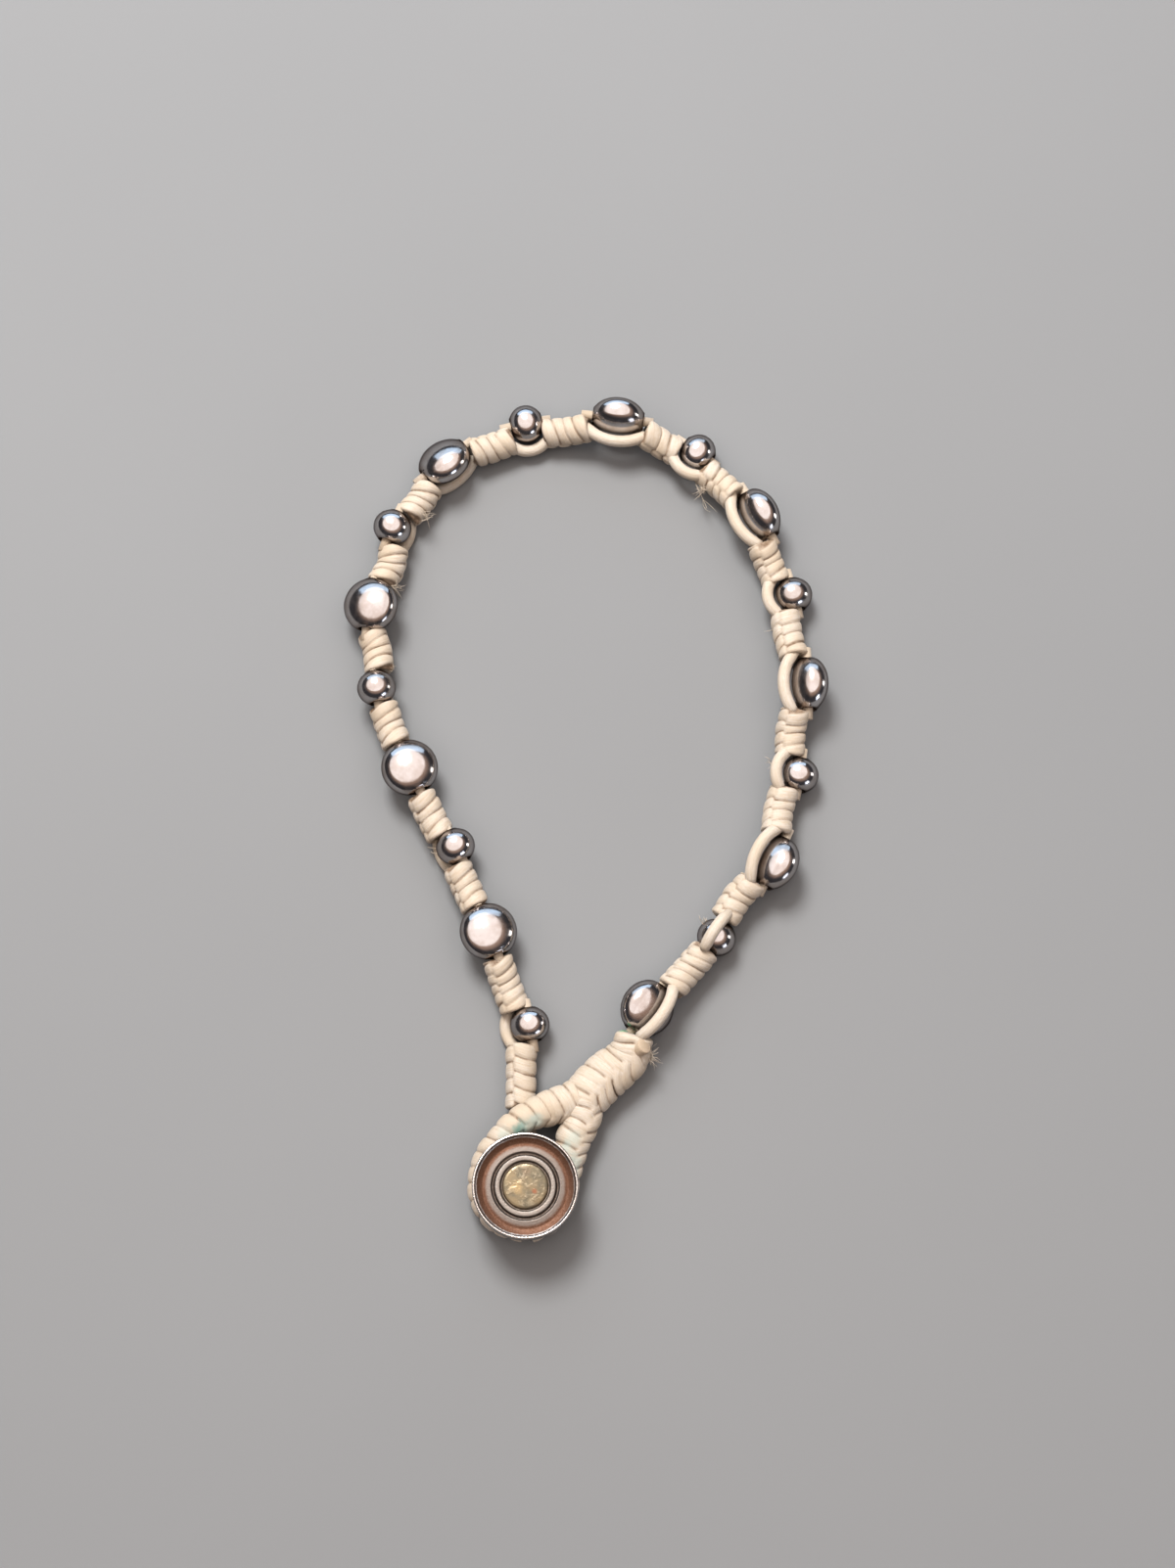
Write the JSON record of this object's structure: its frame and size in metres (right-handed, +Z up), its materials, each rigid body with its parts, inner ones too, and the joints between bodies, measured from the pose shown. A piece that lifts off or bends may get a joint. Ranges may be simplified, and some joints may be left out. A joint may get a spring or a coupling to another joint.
{
  "type": "knotted cord bracelet with metal beads",
  "caption": "Closed wrist bracelet of knotted waxed cord with puffed coin and round metal beads, a ringed metal button and a wrapped cord loop over it.",
  "frame": {"origin": "bottom centre of the closed bracelet's box, on the surface it lies on", "axes": "+Z up, off the surface; +Y along the loop's length, away from the button; +X across the loop"},
  "size_m": [0.0524, 0.0926, 0.0067],
  "materials": {
    "waxed_cord": "cream waxed cotton cord, satin, slightly soiled in the creases, green stains by the button",
    "bead_metal": "polished dark silver",
    "button_metal": "worn nickel with a copper brown ring",
    "worn_brass": "worn and tarnished brass disc"
  },
  "bodies": {
    "root": {"coin_bead_1": "bead_metal", "coin_bead_2": "bead_metal", "coin_bead_3": "bead_metal", "coin_bead_4": "bead_metal", "coin_bead_5": "bead_metal", "coin_bead_6": "bead_metal", "coin_bead_7": "bead_metal", "coin_bead_8": "bead_metal", "coin_bead_9": "bead_metal", "round_bead_1": "bead_metal", "round_bead_2": "bead_metal", "round_bead_3": "bead_metal", "round_bead_4": "bead_metal", "round_bead_5": "bead_metal", "round_bead_6": "bead_metal", "round_bead_7": "bead_metal", "round_bead_8": "bead_metal", "round_bead_9": "bead_metal", "cord_section_1": "waxed_cord", "cord_section_2": "waxed_cord", "cord_section_3": "waxed_cord", "cord_section_4": "waxed_cord", "cord_section_5": "waxed_cord", "cord_section_6": "waxed_cord", "cord_section_7": "waxed_cord", "cord_section_8": "waxed_cord", "cord_section_9": "waxed_cord", "cord_section_10": "waxed_cord", "cord_section_11": "waxed_cord", "cord_section_12": "waxed_cord", "cord_section_13": "waxed_cord", "cord_section_14": "waxed_cord", "cord_section_15": "waxed_cord", "cord_section_16": "waxed_cord", "cord_section_17": "waxed_cord", "cord_section_18": "waxed_cord", "loop_braid": "waxed_cord", "loop_left": "waxed_cord", "loop_right": "waxed_cord", "button_cord": "waxed_cord", "button_head": "button_metal", "button_shank": "button_metal", "button_centre": "worn_brass"}
  },
  "joints": []
}
